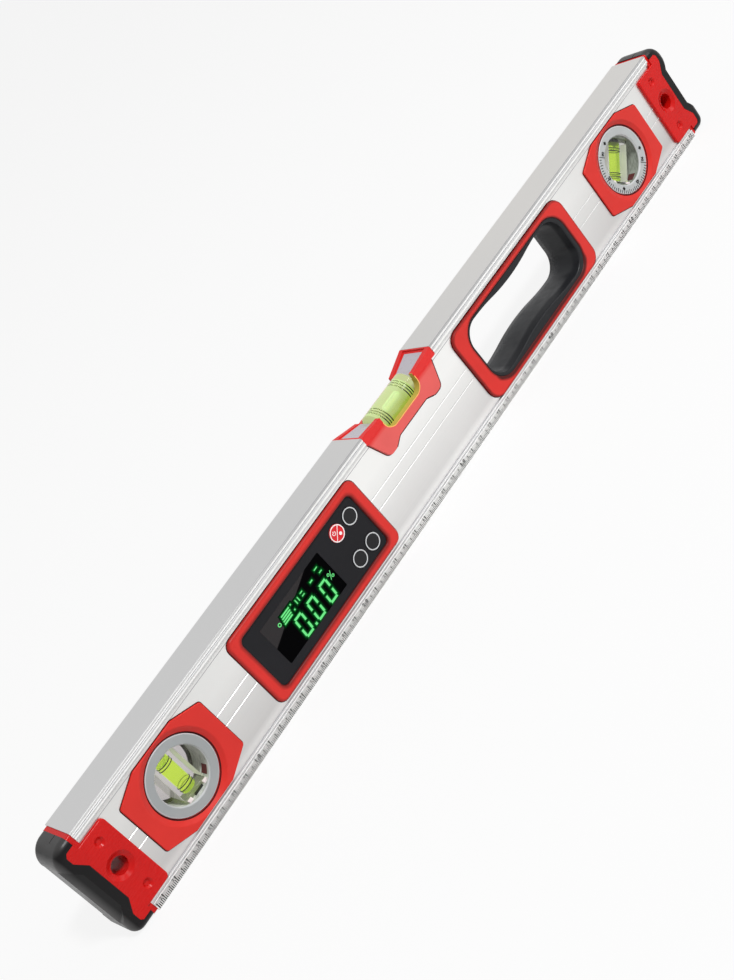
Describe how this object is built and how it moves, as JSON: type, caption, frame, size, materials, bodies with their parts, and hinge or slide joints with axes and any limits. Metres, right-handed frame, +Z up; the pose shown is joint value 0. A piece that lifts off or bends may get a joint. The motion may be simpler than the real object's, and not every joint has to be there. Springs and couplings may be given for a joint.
{
  "type": "digital spirit level",
  "caption": "Digital spirit level: boxed aluminium beam with plumb, turnable angle and top vials, a lit angle display with push buttons, a rubber-lined hand hole and rubber end bumpers.",
  "frame": {"origin": "centre of the base, under the middle of the level's length", "axes": "+X along the level to the right seen from the display side, -Y towards the display side, +Z up from the base to the top face"},
  "size_m": [0.6, 0.027, 0.063],
  "materials": {
    "aluminium": "satin",
    "red_plastic": "semi-gloss",
    "black_rubber": "matte",
    "grey_plastic": "satin",
    "clear_acrylic": "polished",
    "vial_liquid": "clear",
    "dark_plug": "matte",
    "pale_plate": "satin",
    "black_plastic": "satin",
    "dark_window": "polished",
    "lit_display": "gloss",
    "circuit_board": "satin",
    "component_black": "matte",
    "steel": "satin",
    "battery_wrap": "gloss"
  },
  "bodies": {
    "level": {"beam": "aluminium", "end_cap_left": "red_plastic", "end_cap_right": "red_plastic", "end_bumper_left": "black_rubber", "end_bumper_right": "black_rubber", "plumb_frame_front": "red_plastic", "plumb_frame_rear": "red_plastic", "plumb_ring_front": "grey_plastic", "plumb_ring_rear": "grey_plastic", "plumb_vial_block": "clear_acrylic", "plumb_vial_liquid": "vial_liquid", "plumb_vial_plug": "dark_plug", "angle_frame_front": "red_plastic", "angle_frame_rear": "red_plastic", "top_vial_holder": "red_plastic", "top_vial_block": "clear_acrylic", "top_vial_liquid": "vial_liquid", "top_vial_plug": "dark_plug", "ramp_plate_left": "pale_plate", "ramp_plate_right": "pale_plate", "handle_frame_front": "red_plastic", "handle_frame_rear": "red_plastic", "handle_grip": "black_rubber", "display_bezel": "red_plastic", "display_panel": "black_plastic", "display_window": "dark_window", "led_display": "lit_display", "main_board": "circuit_board", "tact_switches": "component_black", "tilt_sensor": "component_black", "buzzer": "component_black", "module_housing": "black_plastic", "rear_cover": "red_plastic", "batteries": "battery_wrap", "battery_contacts": "steel", "cover_screws": "steel"},
    "angle_dial": {"angle_dial_front": "grey_plastic", "angle_dial_rear": "grey_plastic", "angle_vial_block": "clear_acrylic", "angle_vial_liquid": "vial_liquid", "angle_vial_plug": "dark_plug"},
    "power_button": {"power_button": "red_plastic"},
    "mode_button": {"mode_button": "black_plastic"},
    "zero_button": {"zero_button": "black_plastic"},
    "hold_button": {"hold_button": "black_plastic"},
    "battery_door": {"battery_door": "black_plastic"}
  },
  "joints": [
    {"name": "angle_dial_turn", "type": "hinge", "parent": "level", "child": "angle_dial", "pos_m": [0.2253, 0, 0.0312], "axis": [0, 1, 0], "continuous": true},
    {"name": "power_button_press", "type": "slide", "parent": "level", "child": "power_button", "axis": [0, 1, 0], "range_m": [0, 0.0006], "stiffness_N_per_m": 500},
    {"name": "mode_button_press", "type": "slide", "parent": "level", "child": "mode_button", "axis": [0, 1, 0], "range_m": [0, 0.0006], "stiffness_N_per_m": 500},
    {"name": "zero_button_press", "type": "slide", "parent": "level", "child": "zero_button", "axis": [0, 1, 0], "range_m": [0, 0.0006], "stiffness_N_per_m": 500},
    {"name": "hold_button_press", "type": "slide", "parent": "level", "child": "hold_button", "axis": [0, 1, 0], "range_m": [0, 0.0006], "stiffness_N_per_m": 500},
    {"name": "battery_door_lift", "type": "slide", "parent": "level", "child": "battery_door", "axis": [0, 1, 0], "range_m": [0, 0.025]}
  ]
}
